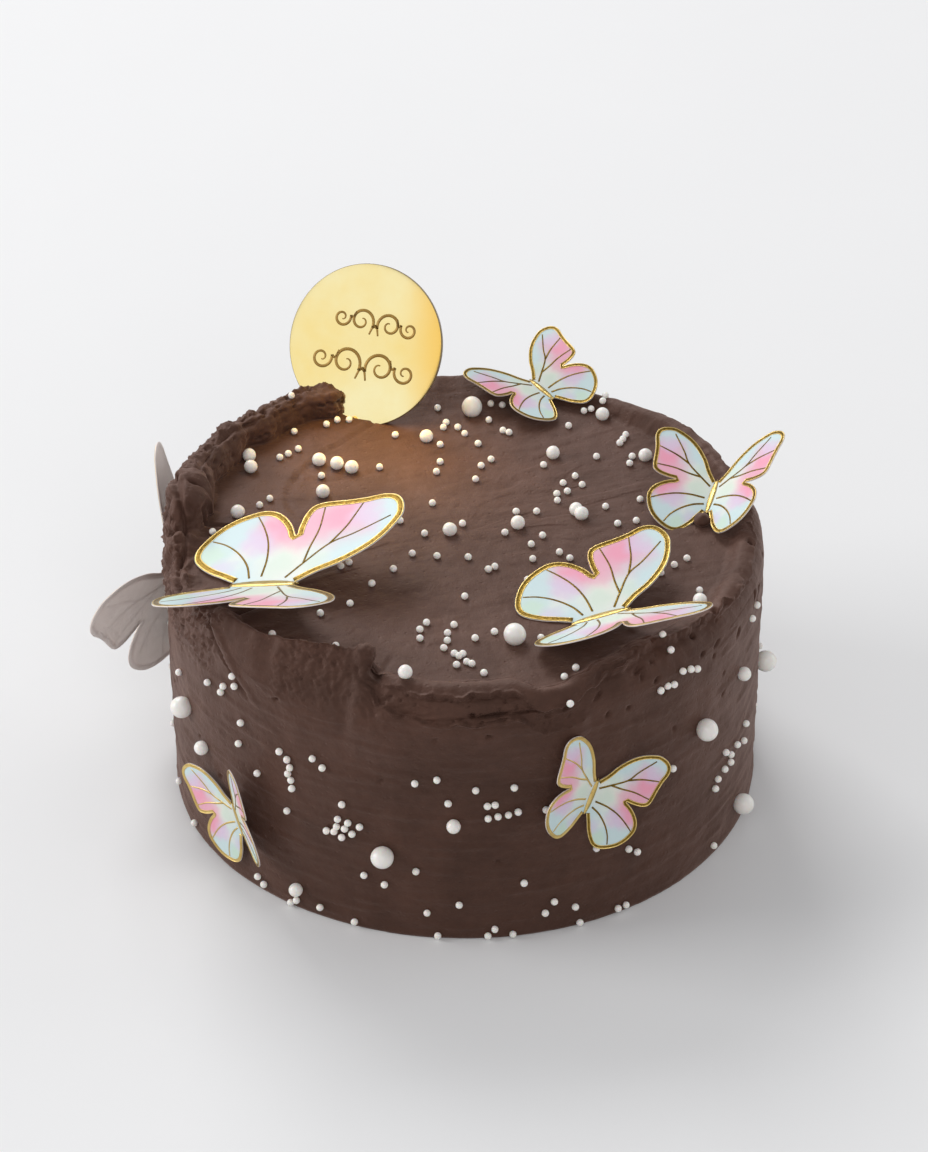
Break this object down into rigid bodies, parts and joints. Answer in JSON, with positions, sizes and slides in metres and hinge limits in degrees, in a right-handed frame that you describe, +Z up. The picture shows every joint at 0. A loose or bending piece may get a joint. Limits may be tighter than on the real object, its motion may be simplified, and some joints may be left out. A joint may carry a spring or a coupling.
{
  "type": "decorated layer cake",
  "caption": "Round layer cake under chocolate icing with a leaning mirror disc topper, folded card butterflies and sugar pearls; food prop that stands on a flat base.",
  "frame": {"origin": "centre of the cake's flat round base", "axes": "+Z up along the cake's axis, -Y towards the front, +X to the right as seen from the front"},
  "size_m": [0.2218, 0.2055, 0.1332],
  "materials": {
    "icing": "matte",
    "topper_mirror": "mirror",
    "printed_card": "satin"
  },
  "bodies": {
    "root": {"cake": "icing", "topper_disc": "topper_mirror", "butterfly_large_left": "printed_card", "butterfly_large_right": "printed_card", "butterfly_back_right": "printed_card", "butterfly_back": "printed_card", "butterfly_front_right": "printed_card", "butterfly_front_left": "printed_card", "butterfly_left_wall": "printed_card"}
  },
  "joints": []
}
